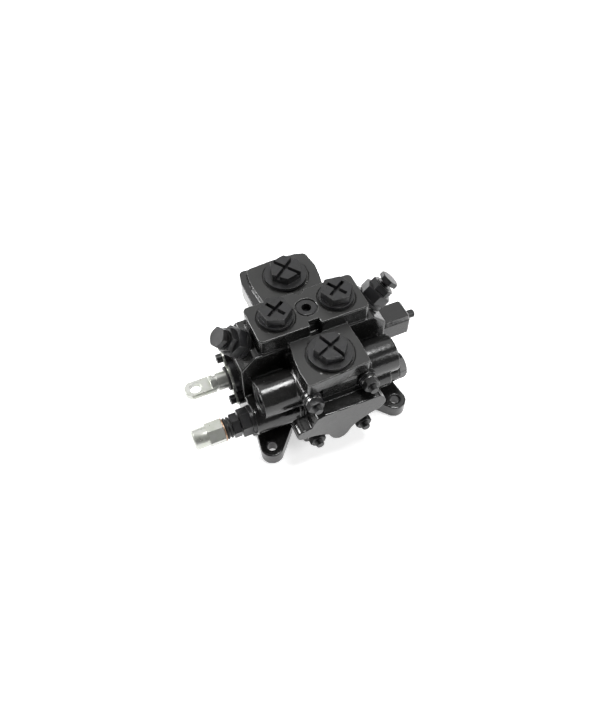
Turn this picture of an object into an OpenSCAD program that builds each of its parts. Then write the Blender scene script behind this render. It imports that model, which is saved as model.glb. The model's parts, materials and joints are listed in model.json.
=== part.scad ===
// Single-spool hydraulic monoblock directional valve.
// Frame: origin on the base plane under the centre plug, +X along the spool from the
// tongue to the spring cap, -Y towards the bolted front cover, +Z up.

/* [Block] */
// X of the block's face on the tongue side
block_left = -68.5; // [-70:0.5:-67]
// X of the block's face on the spring-cap side
block_right = 67; // [66:0.5:69]
// Half depth of the block along Y
block_half_y = 21.5; // [20.5:0.5:23]
// Height of the ledge below the raised deck
ledge_z = 96; // [95:0.5:98]
// Height of the raised deck that carries the two work ports
deck_z = 112; // [110:0.5:114]
// Length of the raised deck
deck_l = 101; // [98:0.5:104]
// Depth of the raised deck
deck_w = 40.5; // [38:0.5:42]
// Height of the front and rear port pads
pad_z = 100.5; // [99:0.5:102]
// Half width of the front and rear port pads
pad_half_x = 29.5; // [29:0.5:30]
// Y of the machined face that the front cover bolts to
front_face_y = -61.4; // [-62:0.1:-61.2]

/* [Ports] */
// Distance of each work port from the centre plug
work_port_x = 27.9; // [27:0.1:29]
// Radius of the work port bores
work_port_r = 13.2; // [12.5:0.1:13.5]
// Radius of the pressure and tank port bores
main_port_r = 16.5; // [16:0.1:17]
// Y of the pressure port's centre
pressure_port_y = -44.2; // [-45:0.1:-43]
// Y of the tank port's centre
tank_port_y = 49.7; // [48:0.1:51]
// Depth of the threaded stretch of each port
port_depth = 14; // [13:0.5:14]

/* [Spool] */
// Radius of the spool
spool_r = 8; // [7.5:0.1:8.5]
// Height of the spool's axis over the base
spool_z = 50.6; // [50:0.1:52]
// X of the centre of the linkage eye
eye_x = -105.6; // [-107:0.1:-104]
// Radius of the linkage eye
eye_r = 5.25; // [5:0.05:5.5]

/* [Reliefs] */
// Distance of the port reliefs' axes from the centre at their seats
relief_x = 60; // [59.5:0.1:60.5]
// Height of the port reliefs' axes at their seats
relief_z = 93; // [92.5:0.1:93.5]
// Height of the main relief's axis
main_relief_z = 36.5; // [36:0.1:37]
// Y of the main relief's axis
main_relief_y = -39.4; // [-40:0.1:-39]
// Height of the compensator's axis
compensator_z = 66; // [65.5:0.1:66.5]
// Y of the compensator's axis
compensator_y = -41.6; // [-42:0.1:-41]

/* [Mounting] */
// Half the distance between the front foot holes
foot_hole_x = 61.4; // [60:0.1:62]
// X of the middle of the front foot holes
foot_mid_x = 2.6; // [2:0.1:3]
// Y of the front foot holes
foot_hole_y = -59.3; // [-60:0.1:-58]
// Y of the rear foot hole
rear_foot_y = 88; // [87:0.5:90]
// Radius of the foot holes
foot_hole_r = 4.5; // [4.2:0.1:4.7]
// Thickness of the feet
foot_h = 14; // [12:0.5:15]

/* [Hidden] */
$fn = 48;

// Running clearance between a moving round part and its bore
run_gap = 0.04;
// Clearance of a thread or a plug that is fixed in its bore
seat_gap = 0.05;
// Clearance around parts that pass each other freely
free_gap = 0.4;

// Block
chamfer = 12;
deck_corner_r = 4.5;
notch_half_x = 5;
notch_depth = 5.3;
boss_r = 17;
boss_left = -62;
boss_right = 63.7;
lower_boss_r = 15;
lower_boss_right = 70;
front_pad_bottom = 86.2;
lip_left = -14.6;
lip_right = 17.5;
lip_bottom = 74.6;
lip_h = 12;
lower_boss_step = 61;
web_y = -36;
web_edge_h = 7;
web_top = 29;
rear_shoulder_z = 96;
rear_shoulder_bottom = 79;
pad_corner_r = 3;
rear_corner_r = 4.5;
// Centres of the pads' corner arcs, counterclockwise
FRONT_BLOCK = [
    [-24, 0], [-24.8, -30], [-25, front_face_y + pad_corner_r],
    [pad_half_x - pad_corner_r, front_face_y + pad_corner_r], [pad_half_x - 2.5, -42],
    [pad_half_x - 3.5, 0]
];
FRONT_PAD = [
    [-18.4, 0], [-21.6, -18], [-25, -38], [-25.8, -50], [-25, -64.3],
    [pad_half_x - pad_corner_r, -61.8], [pad_half_x - 2.3, -42], [pad_half_x - 3.5, -18],
    [pad_half_x - 4.5, 0]
];
REAR_PAD = [
    [21, 15], [23.7, 28], [25.9, 39], [27.3, 51.6], [25.2, 65.2], [18.6, 67.3], [-2, 67.9],
    [-24.2, 66.2], [-25.7, 57], [-25.9, 49.7], [-23.9, 30], [-21, 15]
];
REAR_SHOULDER = [[20, 15], [20, 64], [-18, 69], [-29.8, 70.4], [-31.9, 60], [-31.9, 15]];
rear_column_half_x = 20;
rear_column_y = 62;
stud_boss_r = 8.5;
bore_plug_af = 22;
relief_boss_r = 12.5;
rear_foot_r = 9;
front_foot_r = 10.5;

// Ports
spotface_depth = 0.8;
work_spotface_r = 17.1;
main_spotface_r = 21.1;
main_port_x = 2;
seal_h = 1.2;
flange_h = 3;
work_flange_r = 15.2;
main_flange_r = 19;
work_hex_af = 24.5;
main_hex_af = 25.4;
plug_head_h = 8;
plug_top_share = 0.555;
slot_w = 3;
slot_depth = 4.5;
check_plug_r = 9.3;
check_bore_r = 6.6;
check_seat_z = 72;

// Spool
spool_left = -115;
tongue_end = -92;
tongue_half_h = 3;
spool_right = block_right;
groove_from = -88.5;
groove_to = -86;
groove_r = 6.6;
gallery_r = 11.5;
gallery_w = 8;
land_r = 5.2;
bolt_shank_r = 3;
seat_h = 2;
spring_l = 15;

// Left retainer
backing_t = 4.6;
retainer_t = 1.8;
plates_t = backing_t + retainer_t;
screw_dy = 14.4;
screw_dz = 12.8;
screw_r = 2.5;
screw_head_r = 4.2;
screw_head_h = 5;

// Spring cap
cap_flange_h = 5;
cap_half = 12.8;
cap_end = 101;
cap_bevel = 3.2;
cap_end_bevel = 2;
cap_cavity_r = 9.4;
cap_cavity_end = 96.4;
nub_r = 4;
nub_end = 111.5;

// Port relief cartridges, along their own axis from the seat outwards
cartridge_nose = 21;
cartridge_nose_r = 9;
washer_h = 2;
cartridge_flange_h = 4.5;
cartridge_hex_end = 14;
cartridge_top = 20.6;
cartridge_hex_af = 24;
locknut_h = 6;
locknut_af = 19;
neck_r = 7;
adjuster_r = 4;
adjuster_head_z = 23.6;
adjuster_head_h = 4.6;
adjuster_head_af = 16;
adjuster_tip = 6;
chamber_r = 5.2;
chamber_end = 8.6;
plate_t = 2.5;
poppet_r = 4.8;
poppet_l = 8;

// Main relief cartridge, measured along X
main_hex_left = -80.5;
main_neck_r = 8;
main_neck_left = -98.4;
main_locknut_right = -81.5;
main_cap_hex_left = -110;
main_cap_left = -123;
main_cap_r = 9;
main_nose_end = -45;
main_nose_r = 11;
main_chamber_left = -81.3;
main_plate_left = -79.2;
main_poppet_left = -58.1;
main_seat_left = -47.9;

main_rings_left = [-91.2, -94.4];
main_ring_w = 2.4;
main_washer_left = -96;
main_washer_t = 1;

// Compensator
compensator_r = 9.5;
compensator_plug_r = 12;
compensator_plug_l = 10;
compensator_bore_l = 11;
compensator_left = -20;
compensator_l = 44;

// Front cover
gasket_t = 0.8;
cover_back = front_face_y - gasket_t;
cover_front = -79;
cover_flange_y = -66;
cover_washer_t = 1.4;
spring_washer_t = 1.6;
cover_nut_h = 6;
stud_tip_y = -79.4;
stud_root_y = -50;
stud_r = 4;
stud_mid_x = 1.85;
STUDS = [[-25.4, 77.5], [25.4, 77.5], [-22.5, 20], [22.5, 20]];

paint = [0.06, 0.06, 0.065];
oxide = [0.11, 0.11, 0.115];
zinc = [0.72, 0.73, 0.7];
copper = [0.72, 0.45, 0.25];
rubber = [0.03, 0.03, 0.03];
steel = [0.6, 0.6, 0.6];

// ---------- helpers ----------

// Local +Z becomes +X, starting at the given point
module along_x(x, y, z) {
    translate([x, y, z]) rotate([0, 90, 0]) children();
}

// Local +Z becomes -Y (towards the front), starting at the given point
module along_front(x, y, z) {
    translate([x, y, z]) rotate([90, 0, 0]) children();
}

// Local +Z follows a port relief's axis; side is -1 for left and 1 for right
module along_relief(side) {
    translate([side * relief_x, 0, relief_z]) rotate([0, side * 45, 0]) children();
}

module rounded_rect(x0, x1, y0, y1, r) {
    translate([x0 + r, y0]) square([x1 - x0 - 2 * r, y1 - y0]);
    translate([x0, y0 + r]) square([x1 - x0, y1 - y0 - 2 * r]);
    for (x = [x0 + r, x1 - r], y = [y0 + r, y1 - r])
        translate([x, y]) circle(r);
}

// Convex outline with arcs of radius r about the given centres, counterclockwise
module round_outline(centres, r) {
    count = len(centres);
    polygon([
        for (i = [0 : count - 1], end = [0, 1])
            let (a = centres[i], b = centres[(i + 1) % count], along = (b - a) / norm(b - a))
                (end == 0 ? a : b) + r * [along[1], -along[0]]
    ]);
    for (c = centres) translate(c) circle(r);
}

module tube(r_out, r_in, h) {
    difference() {
        cylinder(r = r_out, h = h);
        translate([0, 0, -1]) cylinder(r = r_in, h = h + 2);
    }
}

module hex_prism(af, h) {
    cylinder(r = af / sqrt(3), h = h, $fn = 6);
}

// A hex with its top corners turned down at 30 degrees to a share of its width
module hex_head(af, h, top_share = 0.49) {
    corner_r = af / sqrt(3);
    flat_r = top_share * af;
    bevel = (corner_r - flat_r) * tan(30);
    intersection() {
        hex_prism(af, h);
        union() {
            cylinder(r = corner_r + 0.1, h = h - bevel);
            translate([0, 0, h - bevel]) cylinder(r1 = corner_r, r2 = flat_r, h = bevel);
        }
    }
}

// ---------- block ----------

module core_profile() {
    polygon([
        [block_left, 0], [block_right, 0], [block_right, ledge_z - chamfer],
        [block_right - chamfer, ledge_z], [block_left + chamfer, ledge_z],
        [block_left, ledge_z - chamfer]
    ]);
}

module core_block() {
    translate([0, block_half_y, 0])
        rotate([90, 0, 0]) linear_extrude(2 * block_half_y) core_profile();
    translate([0, 0, ledge_z - 4])
        linear_extrude(deck_z - ledge_z + 4)
            rounded_rect(-deck_l / 2, deck_l / 2, -deck_w / 2, deck_w / 2, deck_corner_r);
    for (side = [-1, 1])
        along_relief(side) translate([0, 0, -16]) cylinder(r = relief_boss_r, h = 16);
}

module front_block() {
    linear_extrude(front_pad_bottom + 1) round_outline(FRONT_BLOCK, pad_corner_r);
    translate([0, 0, front_pad_bottom]) linear_extrude(pad_z - front_pad_bottom)
        round_outline(FRONT_PAD, pad_corner_r);
    translate([lip_left, cover_flange_y, lip_bottom])
        cube([lip_right - lip_left, front_face_y - cover_flange_y + 1, lip_h]);
    along_x(boss_left, compensator_y, compensator_z)
        cylinder(r = boss_r, h = boss_right - boss_left);
    along_x(block_left, main_relief_y, main_relief_z)
        cylinder(r = lower_boss_r, h = lower_boss_step - block_left);
    along_x(lower_boss_step, main_relief_y, main_relief_z)
        cylinder(r = lower_boss_r - 2, h = lower_boss_right - lower_boss_step);
    translate([boss_left + 3, compensator_y, main_relief_z])
        cube([boss_right - boss_left - 6, -compensator_y, compensator_z - main_relief_z]);
    translate([block_left, main_relief_y, main_relief_z - 9])
        cube([lower_boss_step - block_left, -main_relief_y, 20]);
    for (s = STUDS)
        along_front(stud_mid_x + s[0], -35, s[1]) cylinder(r = stud_boss_r, h = -35 - front_face_y);
}

// Tank port's head, carried on a narrower column
module rear_block() {
    linear_extrude(rear_shoulder_bottom + 1)
        rounded_rect(-rear_column_half_x, rear_column_half_x, 0, rear_column_y, 6);
    translate([0, 0, rear_shoulder_bottom]) linear_extrude(rear_shoulder_z - rear_shoulder_bottom)
        round_outline(REAR_SHOULDER, rear_corner_r);
    translate([0, 0, rear_shoulder_bottom]) linear_extrude(pad_z - rear_shoulder_bottom)
        round_outline(REAR_PAD, rear_corner_r);
}

// Sloping web from the block's foot out to the front feet
module front_web() {
    translate([block_left, 0, 0]) rotate([90, 0, 90])
        linear_extrude(block_right - block_left)
            polygon([
                [0, 0], [web_y, 0], [web_y, web_edge_h], [-block_half_y, web_top], [0, web_top]
            ]);
}

module front_foot(side) {
    translate([foot_mid_x, 0, 0]) linear_extrude(foot_h) {
        translate([side * foot_hole_x, foot_hole_y]) circle(front_foot_r);
        polygon([
            [side * 68, -30], [side * (foot_hole_x + front_foot_r - 0.1), foot_hole_y],
            [side * (foot_hole_x - 8.6), foot_hole_y - 6], [side * 36, -46], [side * 36, -30]
        ]);
    }
}

module rear_foot() {
    linear_extrude(foot_h) {
        translate([0, rear_foot_y]) circle(rear_foot_r);
        polygon([[-20, rear_column_y - 7], [-8.8, rear_foot_y + 2],
                 [8.8, rear_foot_y + 2], [20, rear_column_y - 7]]);
    }
}

module port_cuts(x, y, top, port_r, spot_r) {
    translate([x, y, top - spotface_depth]) cylinder(r = spot_r, h = 2);
    translate([x, y, top - port_depth]) cylinder(r = port_r + seat_gap, h = port_depth);
}

module relief_cuts(side) {
    along_relief(side) {
        translate([0, 0, -cartridge_nose - 1])
            cylinder(r = cartridge_nose_r + seat_gap, h = cartridge_nose + 8);
        translate([0, 0, -cartridge_nose - 20]) cylinder(r = 4, h = 22);
    }
}

module spool_cuts() {
    along_x(block_left - 1, 0, spool_z)
        cylinder(r = spool_r + run_gap, h = block_right - block_left + 2);
    for (x = [0, 14, work_port_x, 42], side = [-1, 1])
        along_x(side * x - gallery_w / 2, 0, spool_z) cylinder(r = gallery_r, h = gallery_w);
    for (x = [block_left - 0.1, block_right - 3.9])
        along_x(x, 0, spool_z) cylinder(r = spool_r + 3, h = 4);
    for (dir = [-1, 1]) {
        along_x(block_left - 1, dir * screw_dy, spool_z + dir * screw_dz)
            cylinder(r = screw_r + seat_gap, h = 15);
        along_x(block_right - 14, dir * screw_dy, spool_z + dir * screw_dz)
            cylinder(r = screw_r + seat_gap, h = 15);
    }
}

// Drilled and cored passages between the bores
module gallery_cuts() {
    for (side = [-1, 1]) {
        translate([side * work_port_x, 0, spool_z])
            cylinder(r = 8, h = deck_z - port_depth - spool_z + 1);
        translate([side * 14, 0, spool_z]) rotate([-90, 0, 0]) cylinder(r = 3.8, h = tank_port_y);
    }
    along_x(-18, tank_port_y, spool_z) cylinder(r = 7, h = 36);
    translate([main_port_x, tank_port_y, spool_z])
        cylinder(r = 10, h = pad_z - port_depth - spool_z + 1);
    translate([main_port_x, pressure_port_y, compensator_z])
        cylinder(r = 9, h = pad_z - port_depth - compensator_z + 1);
    translate([-34, compensator_y, main_relief_z])
        cylinder(r = 5, h = compensator_z - main_relief_z);
    translate([0, 0, spool_z]) cylinder(r = 4.2, h = check_seat_z - spool_z + 1);
    translate([0, 0, check_seat_z]) cylinder(r = check_bore_r, h = 30);
    translate([0, 0, deck_z - 14]) cylinder(r = check_plug_r + seat_gap, h = 15);
}

module front_bore_cuts() {
    along_x(boss_left - 1, compensator_y, compensator_z)
        cylinder(r = compensator_r + run_gap, h = boss_right - boss_left + 2);
    for (x = [boss_left - 1, boss_right - compensator_bore_l])
        along_x(x, compensator_y, compensator_z)
            cylinder(r = compensator_plug_r + seat_gap, h = compensator_bore_l + 1);
    along_x(block_left - 1, main_relief_y, main_relief_z)
        cylinder(r = main_nose_r + seat_gap, h = main_nose_end - block_left + 1);
    along_x(main_nose_end - 1, main_relief_y, main_relief_z) cylinder(r = 7, h = 106);
    along_x(lower_boss_right - 14, main_relief_y, main_relief_z)
        cylinder(r = 9 + seat_gap, h = 15);
    translate([-16, front_face_y - 1, 30]) cube([36, 9, 34]);
    for (s = STUDS)
        along_front(stud_mid_x + s[0], stud_root_y, s[1])
            cylinder(r = stud_r + seat_gap, h = stud_root_y - front_face_y + 8);
}

module foot_cuts() {
    for (side = [-1, 1])
        translate([foot_mid_x + side * foot_hole_x, foot_hole_y, -1])
            cylinder(r = foot_hole_r, h = foot_h + 2);
    translate([0, rear_foot_y, -1]) cylinder(r = foot_hole_r, h = foot_h + 2);
}

module deck_cuts() {
    translate([-notch_half_x, -deck_w / 2 - 1, ledge_z + 2])
        cube([2 * notch_half_x, notch_depth + 1, deck_z - ledge_z]);
    translate([0.6, deck_w / 2 + 1.2, ledge_z + 8]) cylinder(r = 5, h = deck_z - ledge_z);
}

module valve_body() {
    color(paint) difference() {
        union() {
            core_block();
            front_block();
            rear_block();
            front_web();
            for (side = [-1, 1]) front_foot(side);
            rear_foot();
        }
        for (side = [-1, 1]) {
            port_cuts(side * work_port_x, 0, deck_z, work_port_r, work_spotface_r);
            relief_cuts(side);
        }
        port_cuts(main_port_x, pressure_port_y, pad_z, main_port_r, main_spotface_r);
        port_cuts(main_port_x, tank_port_y, pad_z, main_port_r, main_spotface_r);
        spool_cuts();
        gallery_cuts();
        front_bore_cuts();
        foot_cuts();
        deck_cuts();
    }
}

// ---------- spool and its ends ----------

module spool() {
    tongue_cut_l = tongue_end - spool_left + 1;
    color(zinc) difference() {
        along_x(spool_left, 0, spool_z) cylinder(r = spool_r, h = spool_right - spool_left);
        for (dir = [-1, 1])
            translate([spool_left - 1, -spool_r - 1,
                       spool_z + (dir > 0 ? tongue_half_h : -tongue_half_h - 20)])
                cube([tongue_cut_l, 2 * spool_r + 2, 20]);
        for (dir = [-1, 1])
            translate([spool_left, dir * spool_r, spool_z - 10]) rotate([0, 0, 45])
                cube([6.5, 6.5, 40], center = true);
        translate([eye_x, 0, spool_z - 20]) cylinder(r = eye_r, h = 40);
        along_x(groove_from, 0, spool_z) tube(spool_r + 1, groove_r, groove_to - groove_from);
        for (x = [7, 21, 35], side = [-1, 1])
            along_x(side * x - 3.4, 0, spool_z) tube(spool_r + 1, land_r, 6.8);
        along_x(spool_right - 18, 0, spool_z) cylinder(r = bolt_shank_r + seat_gap, h = 20);
    }
}

module spool_end_bolt() {
    shank_l = 18 + 2 * seat_h + spring_l;
    color(oxide) along_x(spool_right - 17.5, 0, spool_z) {
        cylinder(r = bolt_shank_r, h = shank_l - 0.4);
        difference() {
            translate([0, 0, shank_l - 0.4]) cylinder(r = 5.5, h = 4);
            translate([0, 0, shank_l + 1.2]) hex_prism(5, 4);
        }
    }
}

module spring_seats() {
    color(steel) for (x = [spool_right + 0.1, spool_right + seat_h + spring_l + 0.1])
        along_x(x, 0, spool_z) tube(spool_r - 0.3, bolt_shank_r + seat_gap, seat_h - 0.1);
}

module centring_spring() {
    color(steel) along_x(spool_right + seat_h + 0.15, 0, spool_z)
        tube(7.4, 5.2, spring_l - 0.2);
}

module spool_seals() {
    color(rubber) for (x = [block_left + 1.6, block_right - 3.6])
        along_x(x, 0, spool_z) tube(spool_r + 2.9, spool_r + run_gap, 2);
}

// Two-eared plate outline around the spool, in a plane across X
module ear_outline(mid_r, ear_r) {
    circle(mid_r);
    for (dir = [-1, 1]) translate([-dir * screw_dz, dir * screw_dy]) circle(ear_r);
    reach = norm([screw_dz, screw_dy]);
    rotate(atan2(screw_dy, -screw_dz)) square([2 * reach, 1.7 * ear_r], center = true);
}

module eared_plate(x, t, mid_r, ear_r, hole_r) {
    along_x(x, 0, spool_z) difference() {
        linear_extrude(t) ear_outline(mid_r, ear_r);
        translate([0, 0, -1]) cylinder(r = hole_r, h = t + 2);
        for (dir = [-1, 1]) translate([-dir * screw_dz, dir * screw_dy, -1])
            cylinder(r = screw_r + seat_gap, h = t + 2);
    }
}

module backing_plate() {
    color(oxide) eared_plate(block_left - backing_t, backing_t, 15, 6.4, spool_r + free_gap);
}

module retainer_plate() {
    color(zinc) eared_plate(block_left - plates_t, retainer_t, 12, 5.4, spool_r + 3);
}

module wiper_ring() {
    color(rubber) along_x(block_left - plates_t - 2, 0, spool_z)
        tube(spool_r + 2.9, spool_r + run_gap, retainer_t + 2);
}

module socket_screw(shank_l) {
    cylinder(r = screw_r, h = shank_l);
    translate([0, 0, -screw_head_h]) difference() {
        cylinder(r = screw_head_r, h = screw_head_h);
        translate([0, 0, -1]) hex_prism(4, 3.5);
    }
}

module retainer_screws() {
    color(oxide) for (dir = [-1, 1])
        along_x(block_left - plates_t, dir * screw_dy, spool_z + dir * screw_dz)
            socket_screw(plates_t + 12);
}

// Square section with its corners cut off
module cap_section(half) {
    intersection() {
        square(2 * half, center = true);
        rotate(45) square(2 * (half * sqrt(2) - cap_bevel / sqrt(2)), center = true);
    }
}

module end_cap() {
    color(paint) difference() {
        union() {
            along_x(block_right, 0, spool_z) linear_extrude(cap_flange_h) ear_outline(14, 6.4);
            along_x(block_right, 0, spool_z) linear_extrude(cap_end - cap_end_bevel - block_right)
                cap_section(cap_half);
            along_x(cap_end - cap_end_bevel, 0, spool_z)
                linear_extrude(cap_end_bevel / 2) cap_section(cap_half - 0.6);
            along_x(cap_end - cap_end_bevel / 2, 0, spool_z)
                linear_extrude(cap_end_bevel / 2) cap_section(cap_half - 1.6);
        }
        along_x(block_right - 1, 0, spool_z)
            cylinder(r = cap_cavity_r, h = cap_cavity_end - block_right + 1);
        along_x(cap_cavity_end - 1, 0, spool_z) cylinder(r = 2.5 + seat_gap, h = 10);
        for (dir = [-1, 1]) {
            along_x(block_right - 1, dir * screw_dy, spool_z + dir * screw_dz)
                cylinder(r = screw_r + seat_gap, h = cap_flange_h + 2);
            along_x(block_right + cap_flange_h, dir * screw_dy, spool_z + dir * screw_dz)
                cylinder(r = screw_head_r + free_gap, h = 40);
        }
    }
}

module end_cap_screws() {
    color(oxide) for (dir = [-1, 1])
        translate([block_right + cap_flange_h, dir * screw_dy, spool_z + dir * screw_dz])
            rotate([0, -90, 0]) socket_screw(cap_flange_h + 12);
}

module end_cap_nub() {
    color(oxide) {
        along_x(cap_cavity_end + 0.4, 0, spool_z) cylinder(r = 2.5, h = cap_end - cap_cavity_end);
        along_x(cap_end, 0, spool_z) cylinder(r = nub_r, h = nub_end - cap_end - 1);
        along_x(nub_end - 1, 0, spool_z) cylinder(r1 = nub_r, r2 = nub_r - 1, h = 1);
    }
}

// ---------- port plugs ----------

// Threaded plug; z = 0 is the floor of its spotface. A cross is cut into its hex.
module port_plug(port_r, flange_r, hex_af, slot_l, hex_turn, slot_turn) {
    hex_z = seal_h + flange_h;
    difference() {
        union() {
            translate([0, 0, -port_depth + 3]) cylinder(r = port_r, h = port_depth);
            translate([0, 0, seal_h]) cylinder(r = flange_r, h = flange_h);
            translate([0, 0, hex_z]) rotate(hex_turn) hex_head(hex_af, plug_head_h, plug_top_share);
        }
        for (turn = [0, 90])
            rotate(turn + slot_turn) translate([0, 0, hex_z + plug_head_h])
                cube([slot_l, slot_w, 2 * slot_depth], center = true);
        translate([0, 0, -port_depth]) cylinder(r = port_r - 4, h = port_depth - 4);
    }
}

module port_seal(port_r, flange_r) {
    tube(flange_r - 1, port_r + 0.1, seal_h);
}

module work_port_plug(side) {
    color(oxide) translate([side * work_port_x, 0, deck_z - spotface_depth])
        port_plug(work_port_r, work_flange_r, work_hex_af, 19, side < 0 ? -20 : -7, 32);
}

module work_port_plug_a() {
    work_port_plug(-1);
}

module work_port_plug_b() {
    work_port_plug(1);
}

module main_port_plug(y, hex_turn, slot_turn) {
    color(oxide) translate([main_port_x, y, pad_z - spotface_depth])
        port_plug(main_port_r, main_flange_r, main_hex_af, 60, hex_turn, slot_turn);
}

module pressure_port_plug() {
    main_port_plug(pressure_port_y, -7, 23);
}

module tank_port_plug() {
    main_port_plug(tank_port_y, 15, 37);
}

module work_port_seals() {
    color(rubber) for (side = [-1, 1])
        translate([side * work_port_x, 0, deck_z - spotface_depth])
            port_seal(work_port_r, work_flange_r);
}

module main_port_seals() {
    color(rubber) for (y = [pressure_port_y, tank_port_y])
        translate([main_port_x, y, pad_z - spotface_depth])
            port_seal(main_port_r, main_flange_r);
}

// ---------- load check under the centre plug ----------

module load_check_plug() {
    color(oxide) translate([0, 0, deck_z - 13.5]) difference() {
        cylinder(r = check_plug_r, h = 13.2);
        for (turn = [0, 30]) rotate(turn) translate([0, 0, 6.2]) hex_prism(7.6, 8);
        translate([0, 0, 12.4]) tube(check_plug_r + 1, check_plug_r - 1, 1);
        translate([0, 0, -1]) cylinder(r = 5.2, h = 4);
    }
}

module load_check_spring() {
    spring_z = check_seat_z + 12;
    color(steel) translate([0, 0, spring_z + 0.1])
        tube(4.8, 3.6, deck_z - 13.5 + 3 - spring_z - 0.2);
}

module load_check_poppet() {
    color(steel) translate([0, 0, check_seat_z + 0.05]) {
        cylinder(r1 = 4.4, r2 = check_bore_r - run_gap, h = 2);
        translate([0, 0, 2]) cylinder(r = check_bore_r - run_gap, h = 10);
        translate([0, 0, 12]) cylinder(r = 3.2, h = 5);
    }
}

// ---------- port relief cartridges ----------

module relief_washer() {
    color(oxide) tube(relief_boss_r + 0.8, cartridge_nose_r + seat_gap, washer_h);
}

module relief_body() {
    color(oxide) difference() {
        union() {
            translate([0, 0, -cartridge_nose])
                cylinder(r = cartridge_nose_r, h = cartridge_nose + washer_h);
            translate([0, 0, washer_h])
                cylinder(r = relief_boss_r + 0.3, h = cartridge_flange_h - washer_h);
            translate([0, 0, cartridge_flange_h])
                hex_head(cartridge_hex_af, cartridge_hex_end - cartridge_flange_h);
            translate([0, 0, cartridge_hex_end - 1])
                cylinder(r = neck_r, h = cartridge_top - cartridge_hex_end + 1);
        }
        translate([0, 0, -cartridge_nose - 1]) cylinder(r = 2.6, h = 20);
        translate([0, 0, 3 - cartridge_nose])
            cylinder(r = chamber_r, h = chamber_end + cartridge_nose - 3);
        cylinder(r = adjuster_r + seat_gap, h = 40);
    }
}

module relief_locknut() {
    color(oxide) translate([0, 0, cartridge_hex_end + 0.02]) difference() {
        rotate(20) hex_head(locknut_af, locknut_h);
        translate([0, 0, -1]) cylinder(r = neck_r + seat_gap, h = locknut_h + 2);
    }
}

// Threaded stem that the hex cap is locked onto
module relief_stem() {
    color(oxide) translate([0, 0, adjuster_tip])
        cylinder(r = adjuster_r, h = adjuster_head_z + 2 - adjuster_tip);
}

module relief_adjuster() {
    color(oxide) difference() {
        union() {
            translate([0, 0, adjuster_head_z]) hex_head(adjuster_head_af, adjuster_head_h);
            translate([0, 0, adjuster_head_z - 0.6]) cylinder(r = 5.2, h = 0.7);
        }
        translate([0, 0, adjuster_head_z - 1]) cylinder(r = adjuster_r + seat_gap, h = 3.1);
    }
}

module relief_plate() {
    color(steel) translate([0, 0, adjuster_tip - plate_t - 0.05])
        cylinder(r = chamber_r - run_gap, h = plate_t);
}

module relief_spring() {
    from = 3.05 - cartridge_nose + poppet_l + 0.1;
    color(steel) translate([0, 0, from])
        tube(4.4, 3.2, adjuster_tip - plate_t - 0.15 - from);
}

module relief_poppet() {
    color(steel) translate([0, 0, 3.05 - cartridge_nose]) {
        cylinder(r1 = 3, r2 = poppet_r, h = 2);
        translate([0, 0, 2]) cylinder(r = poppet_r, h = poppet_l - 2);
    }
}

module left_relief_washer() {
    along_relief(-1) relief_washer();
}

module left_relief_body() {
    along_relief(-1) relief_body();
}

module left_relief_locknut() {
    along_relief(-1) relief_locknut();
}

module left_relief_stem() {
    along_relief(-1) relief_stem();
}

module left_relief_adjuster() {
    along_relief(-1) relief_adjuster();
}

module left_relief_plate() {
    along_relief(-1) relief_plate();
}

module left_relief_spring() {
    along_relief(-1) relief_spring();
}

module left_relief_poppet() {
    along_relief(-1) relief_poppet();
}

module right_relief_washer() {
    along_relief(1) relief_washer();
}

module right_relief_body() {
    along_relief(1) relief_body();
}

module right_relief_locknut() {
    along_relief(1) relief_locknut();
}

module right_relief_stem() {
    along_relief(1) relief_stem();
}

module right_relief_adjuster() {
    along_relief(1) relief_adjuster();
}

module right_relief_plate() {
    along_relief(1) relief_plate();
}

module right_relief_spring() {
    along_relief(1) relief_spring();
}

module right_relief_poppet() {
    along_relief(1) relief_poppet();
}

// ---------- main relief cartridge ----------

module on_main_relief(x) {
    along_x(x, main_relief_y, main_relief_z) children();
}

module main_relief_body() {
    color(oxide) difference() {
        union() {
            on_main_relief(block_left) cylinder(r = main_nose_r, h = main_nose_end - block_left - 3);
            on_main_relief(block_left - 3) cylinder(r = 13.2, h = 3);
            on_main_relief(main_hex_left) hex_prism(22, block_left - main_hex_left - 3);
            on_main_relief(main_neck_left)
                cylinder(r = main_neck_r, h = block_left - main_neck_left - 2);
        }
        on_main_relief(main_neck_left - 1) cylinder(r = 4 + seat_gap, h = 20);
        on_main_relief(main_chamber_left) cylinder(r = chamber_r, h = 60);
    }
}

module main_relief_locknut() {
    color(oxide) on_main_relief(main_locknut_right - 6.5) difference() {
        rotate(12) hex_prism(locknut_af, 6.5);
        translate([0, 0, -1]) cylinder(r = main_neck_r + seat_gap, h = 9);
    }
}

module main_relief_rings() {
    color(rubber) for (x = main_rings_left)
        on_main_relief(x) tube(9.6, main_neck_r + seat_gap, main_ring_w);
}

module main_relief_washer() {
    color(copper) on_main_relief(main_washer_left)
        tube(10.4, main_neck_r + seat_gap, main_washer_t);
}

module main_relief_cap() {
    hex_right = main_washer_left - 0.1;
    color(zinc) difference() {
        union() {
            on_main_relief(main_cap_hex_left)
                rotate(18) hex_prism(locknut_af, hex_right - main_cap_hex_left);
            on_main_relief(main_cap_left + 1.2)
                cylinder(r = main_cap_r, h = main_cap_hex_left - main_cap_left);
            on_main_relief(main_cap_left) cylinder(r1 = main_cap_r - 1.2, r2 = main_cap_r, h = 1.2);
        }
        on_main_relief(main_cap_left + 3) cylinder(r = 6, h = 22);
        on_main_relief(main_neck_left - 0.4)
            cylinder(r = main_neck_r + seat_gap, h = 10);
    }
}

module main_relief_adjuster() {
    tip_left = main_cap_left + 12;
    color(oxide) on_main_relief(tip_left) difference() {
        cylinder(r = adjuster_r, h = main_plate_left - 0.05 - tip_left);
        translate([0, 0, -1]) hex_prism(4, 5);
    }
}

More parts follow.
